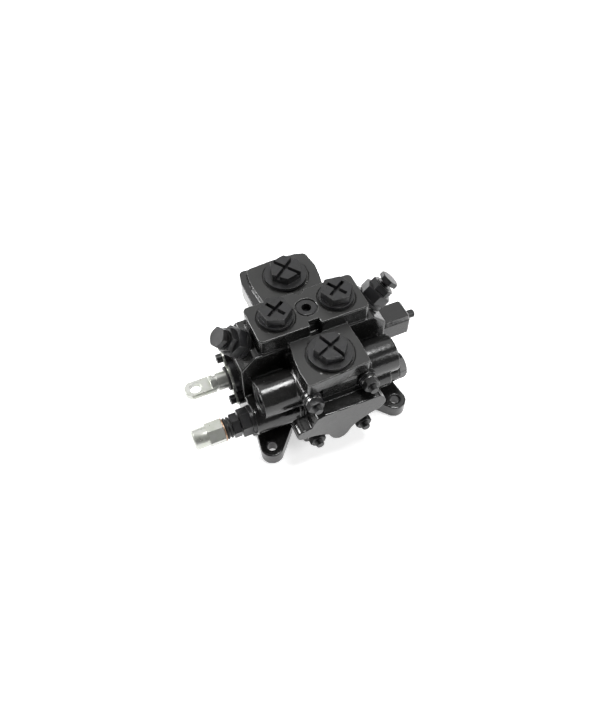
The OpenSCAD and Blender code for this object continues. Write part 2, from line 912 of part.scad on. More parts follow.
module main_relief_plate() {
    color(steel) on_main_relief(main_plate_left)
        cylinder(r = chamber_r - run_gap, h = plate_t);
}

module main_relief_spring() {
    from = main_plate_left + plate_t + 0.1;
    color(steel) on_main_relief(from) tube(4.4, 3.2, main_poppet_left - 0.1 - from);
}

module main_relief_poppet() {
    color(steel) {
        on_main_relief(main_poppet_left) cylinder(r = chamber_r - run_gap, h = 8.3);
        on_main_relief(main_poppet_left + 8.3)
            cylinder(r1 = chamber_r - run_gap, r2 = 2.6, h = 4.2);
    }
}

module main_relief_seat() {
    color(steel) difference() {
        on_main_relief(main_seat_left) cylinder(r = main_nose_r - 0.2, h = 2.8);
        on_main_relief(main_seat_left - 1) cylinder(r = 4.2, h = 5);
    }
}

// ---------- plugs and compensator in the front bosses ----------

module relief_bore_plug() {
    color(oxide) on_main_relief(lower_boss_right - 12) {
        cylinder(r = 9, h = 13);
        translate([0, 0, 12.1]) cylinder(r = 12.4, h = 1.4);
        translate([0, 0, 13]) rotate(8) hex_head(bore_plug_af, 8);
    }
}

module on_compensator(x) {
    along_x(x, compensator_y, compensator_z) children();
}

module compensator_piston() {
    color(steel) difference() {
        on_compensator(compensator_left) cylinder(r = compensator_r, h = compensator_l);
        on_compensator(-3) tube(compensator_r + 1, 6, 11);
        on_compensator(14) cylinder(r = 6.5, h = 12);
    }
}

module compensator_spring() {
    color(steel) on_compensator(14.1) tube(6.2, 4.6, boss_right - compensator_bore_l - 14.2);
}

module compensator_plug(outward) {
    mirror([outward < 0 ? 1 : 0, 0, 0]) rotate([0, 90, 0]) difference() {
        cylinder(r = compensator_plug_r, h = compensator_plug_l);
        translate([0, 0, 5]) hex_prism(10, 6);
    }
}

module compensator_plug_left() {
    color(oxide) translate([boss_left + compensator_bore_l, compensator_y, compensator_z]) compensator_plug(-1);
}

module compensator_plug_right() {
    color(oxide) translate([boss_right - compensator_bore_l, compensator_y, compensator_z]) compensator_plug(1);
}

// ---------- front cover ----------

// Outline of the cover's raised lobe, seen from the front
module cover_lobe() {
    polygon([
        [-37, 41.4], [-29, 40.6], [-18, 37], [-13, 32.6], [-9.4, 25], [-6.6, 21.6], [-2, 19.4],
        [2, 20.4], [5.4, 23.6], [9, 30.6], [13, 35.4], [24, 41.8], [34.4, 45.4], [38, 48.4],
        [40, 52.4], [40, 56], [38.6, 60.4], [34.6, 65.4], [33, 66.2], [7, 66.6], [-17, 67.4],
        [-24, 65.4], [-27.4, 60], [-29.4, 54.6], [-37, 53.6]
    ]);
    translate([-36.4, 47.6]) circle(6.3);
}

module cover_flange() {
    rounded_rect(-27, 31, 15, 74, 6);
    for (s = STUDS) translate([stud_mid_x + s[0], s[1]]) circle(stud_boss_r);
}

// Extrudes an X-Z outline from y_from towards the front
module front_slab(y_from, t) {
    translate([0, y_from, 0]) rotate([90, 0, 0]) linear_extrude(t) children();
}

module stud_holes() {
    for (s = STUDS)
        along_front(stud_mid_x + s[0], -40, s[1]) cylinder(r = stud_r + 0.3, h = 60);
}

module front_cover() {
    color(paint) difference() {
        union() {
            front_slab(cover_back, cover_back - cover_flange_y) cover_flange();
            front_slab(cover_back - 2, cover_back - 2 - cover_front) cover_lobe();
        }
        stud_holes();
        for (s = STUDS) along_front(stud_mid_x + s[0], cover_flange_y, s[1])
            cylinder(r = stud_boss_r - 0.4, h = 30);
        translate([-12, cover_back - 3, 36]) cube([30, 4, 24]);
    }
}

module cover_gasket() {
    color(rubber) difference() {
        front_slab(front_face_y - 0.02, gasket_t - 0.04) cover_flange();
        translate([-16, cover_back - 1, 30]) cube([36, 9, 34]);
        stud_holes();
    }
}

module cover_studs() {
    color(oxide) for (s = STUDS)
        along_front(stud_mid_x + s[0], stud_root_y - 0.1, s[1])
            cylinder(r = stud_r, h = stud_root_y - 0.1 - stud_tip_y);
}

module cover_washers() {
    color(oxide) for (s = STUDS)
        along_front(stud_mid_x + s[0], cover_flange_y - 0.02, s[1])
            tube(8, stud_r + 0.2, cover_washer_t);
}

module cover_spring_washers() {
    color(oxide) for (s = STUDS)
        along_front(stud_mid_x + s[0], cover_flange_y - cover_washer_t - 0.04, s[1])
            tube(7, stud_r + 0.2, spring_washer_t);
}

module cover_nuts() {
    nut_y = cover_flange_y - cover_washer_t - spring_washer_t - 0.06;
    color(oxide) for (s = STUDS)
        along_front(stud_mid_x + s[0], nut_y, s[1])
            difference() {
                rotate(10) hex_head(13, cover_nut_h);
                translate([0, 0, -1]) cylinder(r = stud_r + seat_gap, h = cover_nut_h + 2);
            }
}

valve_body();
spool();
spool_end_bolt();
spring_seats();
centring_spring();
spool_seals();
wiper_ring();
backing_plate();
retainer_plate();
retainer_screws();
end_cap();
end_cap_screws();
end_cap_nub();
work_port_plug_a();
work_port_plug_b();
pressure_port_plug();
tank_port_plug();
work_port_seals();
main_port_seals();
load_check_plug();
load_check_spring();
load_check_poppet();
main_relief_body();
main_relief_locknut();
main_relief_rings();
main_relief_washer();
main_relief_cap();
main_relief_adjuster();
main_relief_plate();
main_relief_spring();
main_relief_poppet();
main_relief_seat();
left_relief_washer();
left_relief_body();
left_relief_locknut();
left_relief_stem();
left_relief_adjuster();
left_relief_plate();
left_relief_spring();
left_relief_poppet();
right_relief_washer();
right_relief_body();
right_relief_locknut();
right_relief_stem();
right_relief_adjuster();
right_relief_plate();
right_relief_spring();
right_relief_poppet();
relief_bore_plug();
compensator_piston();
compensator_spring();
compensator_plug_left();
compensator_plug_right();
front_cover();
cover_gasket();
cover_studs();
cover_washers();
cover_spring_washers();
cover_nuts();
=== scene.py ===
"""Looks of a single-spool hydraulic monoblock valve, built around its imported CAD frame.

Every visible piece is a copy of its CAD node with worked edges, or a new mesh made from the
node's own box and joint axes. Metres, in the CAD frame: +X along the spool, -Y to the front
cover, +Z up.
"""
import json
import math

import bmesh
import bpy
import numpy as np
from mathutils import Matrix, Vector, noise

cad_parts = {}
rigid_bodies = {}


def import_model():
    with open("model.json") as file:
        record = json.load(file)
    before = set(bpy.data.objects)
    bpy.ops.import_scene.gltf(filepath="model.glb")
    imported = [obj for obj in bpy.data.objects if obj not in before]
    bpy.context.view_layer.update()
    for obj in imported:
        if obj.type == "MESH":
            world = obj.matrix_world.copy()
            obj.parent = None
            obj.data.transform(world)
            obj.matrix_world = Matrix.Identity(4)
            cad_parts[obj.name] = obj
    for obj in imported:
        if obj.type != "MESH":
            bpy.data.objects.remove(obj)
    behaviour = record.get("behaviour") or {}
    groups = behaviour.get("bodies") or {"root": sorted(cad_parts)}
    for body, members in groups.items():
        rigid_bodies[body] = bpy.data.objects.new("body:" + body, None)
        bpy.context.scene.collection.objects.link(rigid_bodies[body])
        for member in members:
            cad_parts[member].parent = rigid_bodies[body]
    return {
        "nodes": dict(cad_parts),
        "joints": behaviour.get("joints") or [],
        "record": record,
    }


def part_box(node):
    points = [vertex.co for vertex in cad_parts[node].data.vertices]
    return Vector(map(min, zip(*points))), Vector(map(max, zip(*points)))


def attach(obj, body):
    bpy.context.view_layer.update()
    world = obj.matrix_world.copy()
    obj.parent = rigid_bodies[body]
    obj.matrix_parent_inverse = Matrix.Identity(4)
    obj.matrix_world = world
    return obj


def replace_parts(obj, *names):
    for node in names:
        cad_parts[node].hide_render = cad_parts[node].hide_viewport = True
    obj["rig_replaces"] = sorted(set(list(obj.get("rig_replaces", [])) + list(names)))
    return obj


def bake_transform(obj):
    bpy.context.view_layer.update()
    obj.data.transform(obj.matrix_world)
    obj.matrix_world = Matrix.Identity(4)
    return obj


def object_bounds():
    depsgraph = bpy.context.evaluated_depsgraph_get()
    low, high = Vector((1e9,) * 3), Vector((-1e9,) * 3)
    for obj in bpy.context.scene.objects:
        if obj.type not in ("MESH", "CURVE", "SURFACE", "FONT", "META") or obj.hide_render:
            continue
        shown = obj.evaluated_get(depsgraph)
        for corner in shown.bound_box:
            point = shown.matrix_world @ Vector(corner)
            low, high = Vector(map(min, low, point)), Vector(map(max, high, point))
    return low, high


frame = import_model()
cad_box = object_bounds()

# One millimetre in metres
MM = 0.001
NODES = frame["nodes"]
SLOT_OF = {p["node"]: p["material_slot"] for p in frame["record"]["subparts"]}
BODY_OF = {n: b for b, names in frame["record"]["behaviour"]["bodies"].items() for n in names}
JOINTS = {j["name"]: j for j in frame["joints"]}

# Points of a CAD mesh that are closer than this are one point
WELD = 0.002 * MM
# Depth of the spotfaces and their radius around each plug
SPOTFACE = 0.8 * MM
WORK_SPOT_R = 17.1 * MM
MAIN_SPOT_R = 21.1 * MM
SPOT_RADIUS = {"work_port_plug_a": WORK_SPOT_R, "work_port_plug_b": WORK_SPOT_R,
               "pressure_port_plug": MAIN_SPOT_R, "tank_port_plug": MAIN_SPOT_R}
# A casting's point this close to a machined level or circle is put on it
NEAR = 0.5 * MM
# Sand's shape: share and fineness of its second wave, and where its bumps are cut off
SECOND_WAVE = 0.5
SECOND_FINENESS = 2.3
SAND_TOP = 0.3
# Edges sharper than this many degrees are corners, the rest is a curve
SHARP_ANGLE = 22
# Edge rounds in millimetres. Turned-down hexes, whose chamfers run out to nothing, and other
# small machined pieces take only a fine round.
PORT_PLUG_ROUND = 0.18
FINE_ROUND = 0.09
PLAIN_ROUND = 0.25
FINE_WORDS = ("plug", "nut", "body", "adjuster", "cap", "screws", "bolt")
# Radius of the cover's studs, and the pitch that they share with the relief stems
STUD_R = 4.0 * MM
THREAD_PITCH = 1.25 * MM
# Springs: wire as a share of the coil's radius, points along a turn and around the wire, and
# how strongly the end turns close up
WIRE_SHARE = 0.13
COIL_STEPS = 28
COIL_SIDES = 10
END_CLOSING = 0.6
# How far an adjuster's plate comes towards its spring
PLATE_TRAVEL = 1.3 * MM
# The rubber rings' height, and how far they reach into their grooves
RING_HEIGHT = 1.5 * MM
RING_BITE = 0.05 * MM
# Camera: degrees about Z from straight in front, negative to the left, degrees above the level,
# where it stands, and its lens and sensor in millimetres
CAMERA_TURN = -23.76
CAMERA_LIFT = 54.23
CAMERA_AT = (-0.15771, -0.34515, 0.56351)
CAMERA_LENS = 35.05
CAMERA_SENSOR = 36
# The room's grey and brightness, the floor's glow and its gap below the valve
ROOM_GREY = 0.52
ROOM_STRENGTH = 0.25
FLOOR_GLOW = 0.58
FLOOR_GAP = 0.2 * MM


# ---------- material helpers ----------

class Shader:
    """A node material whose steps are added one call at a time."""

    def __init__(self, name, metallic=0.0, specular=0.5, coat=0.0, coat_roughness=0.1):
        self.mat = bpy.data.materials.new(name)
        self.mat.use_nodes = True
        self.tree = self.mat.node_tree
        self.bsdf = self.tree.nodes["Principled BSDF"]
        self.bsdf.inputs["Metallic"].default_value = metallic
        self.bsdf.inputs["Specular IOR Level"].default_value = specular
        self.bsdf.inputs["Coat Weight"].default_value = coat
        self.bsdf.inputs["Coat Roughness"].default_value = coat_roughness
        self.coords = self.add("ShaderNodeTexCoord").outputs["Object"]
        self.normal = None

    def add(self, kind, **inputs):
        """A new node; each input is a number, a colour or another node's output."""
        node = self.tree.nodes.new(kind)
        for key, value in inputs.items():
            self.feed(node.inputs[key.replace("_", " ")], value)
        return node

    def feed(self, socket, value):
        """Links an output to the socket, or sets a constant on it."""
        if isinstance(value, bpy.types.NodeSocket):
            self.tree.links.new(value, socket)
        else:
            socket.default_value = value

    def stretched(self, scale):
        """Object coordinates scaled unevenly, for marks that run one way."""
        mapping = self.add("ShaderNodeMapping", Vector=self.coords)
        mapping.inputs["Scale"].default_value = scale
        return mapping.outputs["Vector"]

    def noise(self, size_mm, detail=3.0, roughness=0.55, coords=None):
        """Smooth noise whose blotches are about this size."""
        node = self.add("ShaderNodeTexNoise", Vector=coords or self.coords, Scale=1000.0 / size_mm,
                        Detail=detail, Roughness=roughness)
        return node.outputs["Fac"]

    def cells(self, size_mm):
        """Distance to the nearest of many scattered points."""
        node = self.add("ShaderNodeTexVoronoi", Vector=self.coords, Scale=1000.0 / size_mm)
        return node.outputs["Distance"]

    def ramp(self, value, *stops):
        """stops are (place, grey or colour)."""
        node = self.add("ShaderNodeValToRGB", Fac=value)
        band = node.color_ramp
        while len(band.elements) < len(stops):
            band.elements.new(0.5)
        for element, (place, colour) in zip(band.elements, stops):
            element.position = place
            rgb = colour if isinstance(colour, tuple) else (colour,) * 3
            element.color = (*rgb, 1.0)
        return node.outputs["Color"]

    def mix(self, fac, a, b):
        """Colour a where fac is 0 and colour b where it is 1."""
        node = self.tree.nodes.new("ShaderNodeMix")
        node.data_type = "RGBA"
        # A Mix node's colour sockets are inputs 6 and 7 and output 2
        self.feed(node.inputs[0], fac)
        for socket, value in ((node.inputs[6], a), (node.inputs[7], b)):
            self.feed(socket, (*value, 1.0) if isinstance(value, tuple) else value)
        return node.outputs[2]

    def edges(self, low, high):
        """A 0-to-1 mask along sharp outer edges, from pointiness, that the paints use to lighten their
        edges: partly worn paint, partly a painted highlight.
        """
        point = self.add("ShaderNodeNewGeometry").outputs["Pointiness"]
        return self.ramp(point, (low, 0.0), (high, 1.0))

    def bump(self, height, depth_mm, strength):
        """Adds a bump on top of those already there."""
        node = self.add("ShaderNodeBump", Height=height, Strength=strength, Distance=depth_mm * MM)
        if self.normal is not None:
            self.tree.links.new(self.normal, node.inputs["Normal"])
        self.normal = node.outputs["Normal"]

    def done(self, colour, roughness):
        """Joins colour, roughness and the bumps to the shader."""
        self.feed(self.bsdf.inputs["Base Color"], colour)
        self.feed(self.bsdf.inputs["Roughness"], roughness)
        if self.normal is not None:
            self.tree.links.new(self.normal, self.bsdf.inputs["Normal"])
        return self.mat


# ---------- materials ----------

def cast_paint():
    """Black gloss paint over sand-cast iron: fine grain, a few pits, and edges lightened partly as paint
    worn thin and partly as a painted highlight.
    """
    s = Shader("cast_black_paint", specular=0.5, coat=0.2, coat_roughness=0.18)
    s.bump(s.noise(9.0, detail=2.0), 0.4, 0.22)
    s.bump(s.noise(1.1, detail=4.0, roughness=0.6), 0.10, 0.16)
    pits = s.ramp(s.cells(5.5), (0.0, 0.0), (0.11, 1.0))
    s.bump(pits, 0.12, 0.3)
    tone = s.ramp(s.noise(14.0), (0.3, (0.0055, 0.0055, 0.0055)), (0.7, (0.013, 0.013, 0.0125)))
    # Edges lightened to grey: partly paint worn thin, partly a painted highlight standing in for light
    # caught on the rounded edges.
    edge_wear_and_highlight = s.mix(s.edges(0.535, 0.60), tone, (0.055, 0.055, 0.055))
    gloss = s.ramp(s.noise(5.0, detail=4.0), (0.3, 0.14), (0.72, 0.28))
    return s.done(edge_wear_and_highlight, gloss)


def machined_paint():
    """Milled faces under the same paint: flat and semi-matte, with faint cutter marks and a painted
    highlight along the sharp edges.
    """
    s = Shader("machined_black_paint", specular=0.45, coat=0.1, coat_roughness=0.3)
    marks = s.noise(0.5, detail=2.0, coords=s.stretched((1.0, 0.06, 1.0)))
    s.bump(marks, 0.02, 0.5)
    s.bump(s.noise(0.35, detail=3.0), 0.03, 0.4)
    tone = s.ramp(s.noise(22.0, detail=4.0), (0.3, (0.010, 0.010, 0.0095)), (0.7, (0.017, 0.017, 0.016)))
    # Painted highlight: sharp edges lightened to a light grey, standing in for the bright lines that
    # light draws along the milled edges.
    edge_wear_and_highlight = s.mix(s.edges(0.52, 0.57), tone, (0.20, 0.20, 0.195))
    gloss = s.ramp(s.noise(3.0, detail=5.0), (0.3, 0.36), (0.7, 0.46))
    return s.done(edge_wear_and_highlight, gloss)


def black_oxide():
    """Oiled black oxide on turned steel: bluish black, with duller and oilier patches."""
    s = Shader("black_oxide", metallic=0.2, specular=0.5, coat=0.05, coat_roughness=0.25)
    s.bump(s.noise(0.8, detail=2.0), 0.004, 0.15)
    s.bump(s.noise(4.0, detail=2.0), 0.012, 0.15)
    blotch = s.ramp(s.noise(4.0, detail=5.0), (0.35, 0.008), (0.68, 0.020))
    oiled = s.mix(s.ramp(s.noise(7.0), (0.4, 0.0), (0.65, 1.0)), blotch, (0.013, 0.013, 0.0145))
    gloss = s.ramp(s.noise(1.8, detail=5.0), (0.3, 0.27), (0.7, 0.40))
    return s.done(oiled, gloss)


def zinc_plate():
    """Clear-passivated zinc: silver with a slight yellow-green cast and fine turning lines."""
    s = Shader("zinc_plate", metallic=0.75, specular=0.5)
    lines = s.noise(0.3, detail=2.0, coords=s.stretched((0.12, 1.0, 1.0)))
    s.bump(lines, 0.012, 0.5)
    s.bump(s.noise(1.4, detail=3.0), 0.02, 0.2)
    tint = s.mix(s.ramp(s.noise(10.0, detail=3.0), (0.35, 0.0), (0.68, 1.0)),
                 (0.52, 0.525, 0.50), (0.44, 0.46, 0.40))
    stain = s.mix(s.ramp(s.noise(3.5, detail=6.0), (0.66, 0.0), (0.80, 0.35)), tint, (0.28, 0.27, 0.24))
    gloss = s.ramp(s.noise(4.0, detail=4.0), (0.3, 0.26), (0.7, 0.38))
    return s.done(stain, gloss)


def ground_steel():
    """Ground and oiled steel of the inner pieces."""
    s = Shader("ground_steel", metallic=1.0)
    s.bump(s.noise(0.25, detail=2.0, coords=s.stretched((0.1, 1.0, 1.0))), 0.01, 0.5)
    tone = s.ramp(s.noise(6.0, detail=4.0), (0.3, (0.30, 0.30, 0.30)), (0.7, (0.42, 0.42, 0.41)))
    gloss = s.ramp(s.noise(2.0, detail=4.0), (0.3, 0.20), (0.7, 0.34))
    return s.done(tone, gloss)


def soft_copper():
    """Annealed copper of the sealing ring, a little tarnished."""
    s = Shader("soft_copper", metallic=1.0)
    s.bump(s.noise(0.6, detail=3.0), 0.02, 0.4)
    tone = s.ramp(s.noise(2.4, detail=5.0), (0.35, (0.36, 0.23, 0.15)), (0.68, (0.52, 0.36, 0.26)))
    gloss = s.ramp(s.noise(1.5), (0.3, 0.28), (0.7, 0.46))
    return s.done(tone, gloss)


def seal_rubber():
    """Matte nitrile rubber with a bloom."""
    s = Shader("seal_rubber", specular=0.35)
    s.bump(s.noise(0.5, detail=4.0), 0.03, 0.5)
    tone = s.ramp(s.noise(3.0, detail=4.0), (0.35, 0.010), (0.7, 0.024))
    gloss = s.ramp(s.noise(1.2), (0.3, 0.52), (0.7, 0.68))
    return s.done(tone, gloss)


def floor_paper():
    """White studio paper that glows a little, so the ground stays pale."""
    s = Shader("floor_paper", specular=0.1)
    s.bsdf.inputs["Emission Color"].default_value = (1, 1, 1, 1)
    s.bsdf.inputs["Emission Strength"].default_value = FLOOR_GLOW
    s.bump(s.noise(3.0), 0.02, 0.2)
    tone = s.ramp(s.noise(60.0), (0.3, 0.88), (0.7, 0.90))
    return s.done(tone, s.ramp(s.noise(40.0), (0.3, 0.80), (0.7, 0.88)))


FINISH = {
    "black_paint": cast_paint(),
    "black_oxide_steel": black_oxide(),
    "zinc_plated_steel": zinc_plate(),
    "bare_steel": ground_steel(),
    "copper": soft_copper(),
    "seal_rubber": seal_rubber(),
}
MACHINED = machined_paint()


# ---------- mesh helpers ----------

def link(name, mesh):
    """A new object of the mesh, in the scene."""
    piece = bpy.data.objects.new(name, mesh)
    bpy.context.scene.collection.objects.link(piece)
    return piece


def stand_for(piece, node, pressed_by=None):
    """The piece takes the CAD node's place: its body, its slot and its finish.
    A spring that is pressed_by (body, start, end) keeps its place in the frame and joins no body."""
    slot = SLOT_OF[node]
    if not piece.data.materials:
        piece.data.materials.append(FINISH[slot])
    if pressed_by:
        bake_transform(piece)
    else:
        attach(piece, BODY_OF[node])
    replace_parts(piece, node)
    return piece


def welded(node):
    """The CAD node's mesh with its seams closed and its flat faces joined."""
    bm = bmesh.new()
    bm.from_mesh(NODES[node].data)
    bmesh.ops.remove_doubles(bm, verts=bm.verts, dist=WELD)
    bmesh.ops.dissolve_limit(bm, angle_limit=math.radians(0.6), verts=bm.verts, edges=bm.edges)
    mesh = bpy.data.meshes.new(node + "_mesh")
    bm.to_mesh(mesh)
    bm.free()
    return mesh


def baked(piece):
    """The piece's mesh with its modifiers applied."""
    graph = bpy.context.evaluated_depsgraph_get()
    mesh = bpy.data.meshes.new_from_object(piece.evaluated_get(graph))
    piece.modifiers.clear()
    old = piece.data
    piece.data = mesh
    bpy.data.meshes.remove(old)
    return mesh


def shade_smooth(mesh):
    mesh.polygons.foreach_set("use_smooth", [True] * len(mesh.polygons))


def edge_round(node):
    """Size in millimetres of the round on a node's edges, from the words in its name."""
    if "port_plug" in node:
        return PORT_PLUG_ROUND
    return FINE_ROUND if any(word in node for word in FINE_WORDS) else PLAIN_ROUND


def refined(node, edge_mm):
    """A copy of a CAD node with every sharp edge broken by a small round."""
    mesh = welded(node)
    shade_smooth(mesh)
    mesh.set_sharp_from_angle(angle=math.radians(SHARP_ANGLE))
    piece = link(node + "_fine", mesh)
    bevel = piece.modifiers.new("edges", "BEVEL")
    bevel.width = edge_mm * MM
    bevel.segments = 2
    bevel.limit_method = "ANGLE"
    bevel.angle_limit = math.radians(SHARP_ANGLE)
    bevel.use_clamp_overlap = False
    bevel.harden_normals = True
    return stand_for(piece, node)


def ring_mesh(name, rings, closed=True):
    """A skin over rings of equal point counts; each ring is a list of Vectors."""
    count = len(rings[0])
    verts = [v for ring in rings for v in ring]
    faces = []
    for i in range(len(rings) - 1):
        a, b = i * count, (i + 1) * count
        for k in range(count):
            n = (k + 1) % count
            faces.append((a + k, a + n, b + n, b + k))
    if closed:
        faces.append(tuple(reversed(range(count))))
        faces.append(tuple(range(len(verts) - count, len(verts))))
    mesh = bpy.data.meshes.new(name)
    mesh.from_pydata(verts, [], faces)
    bm = bmesh.new()
    bm.from_mesh(mesh)
    bmesh.ops.recalc_face_normals(bm, faces=bm.faces)
    bm.to_mesh(mesh)
    bm.free()
    shade_smooth(mesh)
    return mesh


def axis_frame(origin, axis):
    """Matrix whose local +Z is the given axis at the given point."""
    return Matrix.Translation(origin) @ Vector(axis).to_track_quat("Z", "Y").to_matrix().to_4x4()


def turned(place, profile, steps=64):
    """Rings of a turned shape. The profile is (height, radius), the radius a number or a
    function of the angle."""
    rings = []
    for height, radius in profile:
        ring = []
        for k in range(steps):
            angle = 2 * math.pi * k / steps
            r = radius(angle) if callable(radius) else radius
            ring.append(place @ Vector((r * math.cos(angle), r * math.sin(angle), height)))
        rings.append(ring)
    return rings


def cylinder_of(node, axis):
    """Centre, length and radius of a CAD node that is a cylinder along the axis."""
    low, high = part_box(node)
    axis = Vector(axis).normalized()
    side = min(range(3), key=lambda i: abs(axis[i]))
    main = max(range(3), key=lambda i: abs(axis[i]))
    radius = (high[side] - low[side]) / 2
    across = math.sqrt(max(0.0, 1 - axis[main] ** 2))
    length = (high[main] - low[main] - 2 * radius * across) / abs(axis[main])
    return (low + high) / 2, length, radius


def split_boxes(node):
    """The box of each separate solid of a CAD node."""
    bm = bmesh.new()
    bm.from_mesh(NODES[node].data)
    bmesh.ops.remove_doubles(bm, verts=bm.verts, dist=WELD)
    left, boxes = set(bm.verts), []
    while left:
        grown, stack = set(), [next(iter(left))]
        while stack:
            v = stack.pop()
            if v not in grown:
                grown.add(v)
                stack += [e.other_vert(v) for e in v.link_edges]
        left -= grown
        co = np.array([v.co for v in grown])
        boxes.append((Vector(co.min(0)), Vector(co.max(0))))
    bm.free()
    return sorted(boxes, key=lambda b: (round(b[0].x, 4), round(b[0].z, 4)))


# ---------- castings ----------

def voxel_skin(node, voxel_mm, rounds):
    """A dense skin of the CAD node whose edges and inner corners are rounded as a casting's are."""
    piece = link(node + "_casting", welded(node))
    remesh = piece.modifiers.new("skin", "REMESH")
    remesh.mode = "VOXEL"
    remesh.voxel_size = voxel_mm * MM
    smooth = piece.modifiers.new("rounding", "SMOOTH")
    smooth.factor = 0.5
    smooth.iterations = rounds
    baked(piece)
    return piece


def vertex_array(mesh):
    """The mesh's points as rows of an array."""
    co = np.empty(len(mesh.vertices) * 3, np.float32)
    mesh.vertices.foreach_get("co", co)
    return co.reshape(-1, 3)


def vertex_normals(mesh):
    """The points' normals as rows of an array."""
    out = np.empty(len(mesh.vertices) * 3, np.float32)
    mesh.vertices.foreach_get("normal", out)
    return out.reshape(-1, 3)


def roughen(mesh, hold, height_mm, size_mm):
    """Moves the free points along their normals by a smooth random height: the sand's own shape."""
    co, normals = vertex_array(mesh), vertex_normals(mesh)
    free = np.nonzero(~hold)[0]
    scale = 1.0 / (size_mm * MM)
    lift = np.array([noise.noise(Vector(co[i]) * scale)
                     + SECOND_WAVE * noise.noise(Vector(co[i]) * scale * SECOND_FINENESS)
                     for i in free], np.float32)
    co[free] += normals[free] * (np.minimum(lift, SAND_TOP) - SAND_TOP)[:, None] * height_mm * MM
    mesh.vertices.foreach_set("co", co.ravel())
    mesh.update()


def split_finish(mesh, machined_verts):
    """Faces whose points are all machined take the second material."""
    mesh.materials.append(FINISH["black_paint"])
    mesh.materials.append(MACHINED)
    index = np.zeros(len(mesh.polygons), np.int32)
    for polygon in mesh.polygons:
        index[polygon.index] = int(all(machined_verts[v] for v in polygon.vertices))
    mesh.polygons.foreach_set("material_index", index)


def level_tops(co, normals, levels):
    """Puts upward-facing points that are near a level on it, and says which they are."""
    up = normals[:, 2] > 0.75
    held = np.zeros(len(co), bool)
    for level in levels:
        flat = up & (abs(co[:, 2] - level) < NEAR)
        co[flat, 2] = level
        held |= flat
    return held


def round_walls(co, floor):
    """Puts the points of each spotface's wall on its circle, and says which they are."""
    held = np.zeros(len(co), bool)
    for plug, rim in SPOT_RADIUS.items():
        low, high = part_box(plug)
        centre = np.array(((low + high) / 2).xy, np.float32)
        away = co[:, :2] - centre
        dist = np.hypot(away[:, 0], away[:, 1])
        wall = (abs(dist - rim) < NEAR) & (co[:, 2] > floor) & (dist > 0)
        co[wall, :2] = centre + away[wall] * (rim / dist[wall])[:, None]
        held |= wall
    return held


def valve_casting():
    """The block: machined pads and spotfaces are cut flat, the rest is left as cast."""
    piece = voxel_skin("valve_body", 0.62, 5)
    mesh = piece.data
    co, normals = vertex_array(mesh), vertex_normals(mesh)
    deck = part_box("work_port_seals")[0].z + SPOTFACE
    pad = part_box("main_port_seals")[0].z + SPOTFACE
    machined = level_tops(co, normals, (deck, deck - SPOTFACE, pad, pad - SPOTFACE))
    machined |= round_walls(co, pad - 2 * SPOTFACE)
    mesh.vertices.foreach_set("co", co.ravel())
    mesh.update()
    roughen(mesh, machined, 0.05, 2.0)
    shade_smooth(mesh)
    split_finish(mesh, machined)
    return stand_for(piece, "valve_body")


def plain_casting(node, voxel_mm, rounds, height_mm):
    """A casting with no machined face: sand all over, at one height."""
    piece = voxel_skin(node, voxel_mm, rounds)
    roughen(piece.data, np.zeros(len(piece.data.vertices), bool), height_mm, 1.6)
    shade_smooth(piece.data)
    return stand_for(piece, node)


# ---------- threads, rings and springs ----------

def thread_radius(outer, depth, pitch, height):
    """Radius around a helical V thread at one height."""
    def at(angle):
        phase = (height / pitch - angle / (2 * math.pi)) % 1.0
        return outer - depth * abs(2 * phase - 1) ** 1.3
    return at


def threaded_rod(place, length, radius, pitch, plain=0.0):
    """A rod threaded from height plain to its tip, with a chamfered end."""
    depth = 0.55 * pitch
    profile = [(0.0, radius - depth / 2), (plain, radius - depth / 2)]
    steps = int((length - plain) / pitch * 10)
    for i in range(steps + 1):
        height = plain + (length - plain) * i / steps
        lead = min(1.0, (length - height) / (0.8 * pitch))
        outer = radius - depth * (1 - lead)
        profile.append((height, thread_radius(outer, depth * lead + 1e-6, pitch, height)))
    profile.append((length, radius - 1.2 * depth))
    return turned(place, profile, 40)


def cover_studs():
    """Four studs, threaded where they stand out of their nuts, as one piece of four solids."""
    low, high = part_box("cover_studs")
    nuts = split_boxes("cover_nuts")
    bm = bmesh.new()
    for nut_low, nut_high in nuts:
        x, z = (nut_low.x + nut_high.x) / 2, (nut_low.z + nut_high.z) / 2
        place = axis_frame(Vector((x, high.y, z)), (0, -1, 0))
        start = high.y - nut_high.y
        part = ring_mesh("stud", threaded_rod(place, high.y - low.y, STUD_R, THREAD_PITCH, start))
        bm.from_mesh(part)
    mesh = bpy.data.meshes.new("cover_stud_threads")
    bm.to_mesh(mesh)
    bm.free()
    shade_smooth(mesh)
    return stand_for(link("cover_stud_threads", mesh), "cover_studs")


def relief_stem(side, axis):
    """The threaded stem of one port relief's adjuster."""
    node = side + "_relief_stem"
    centre, length, radius = cylinder_of(node, axis)
    place = axis_frame(centre - Vector(axis) * length / 2, axis)
    rings = threaded_rod(place, length, radius, THREAD_PITCH)
    return stand_for(link(node + "_thread", ring_mesh(node + "_thread", rings)), node)


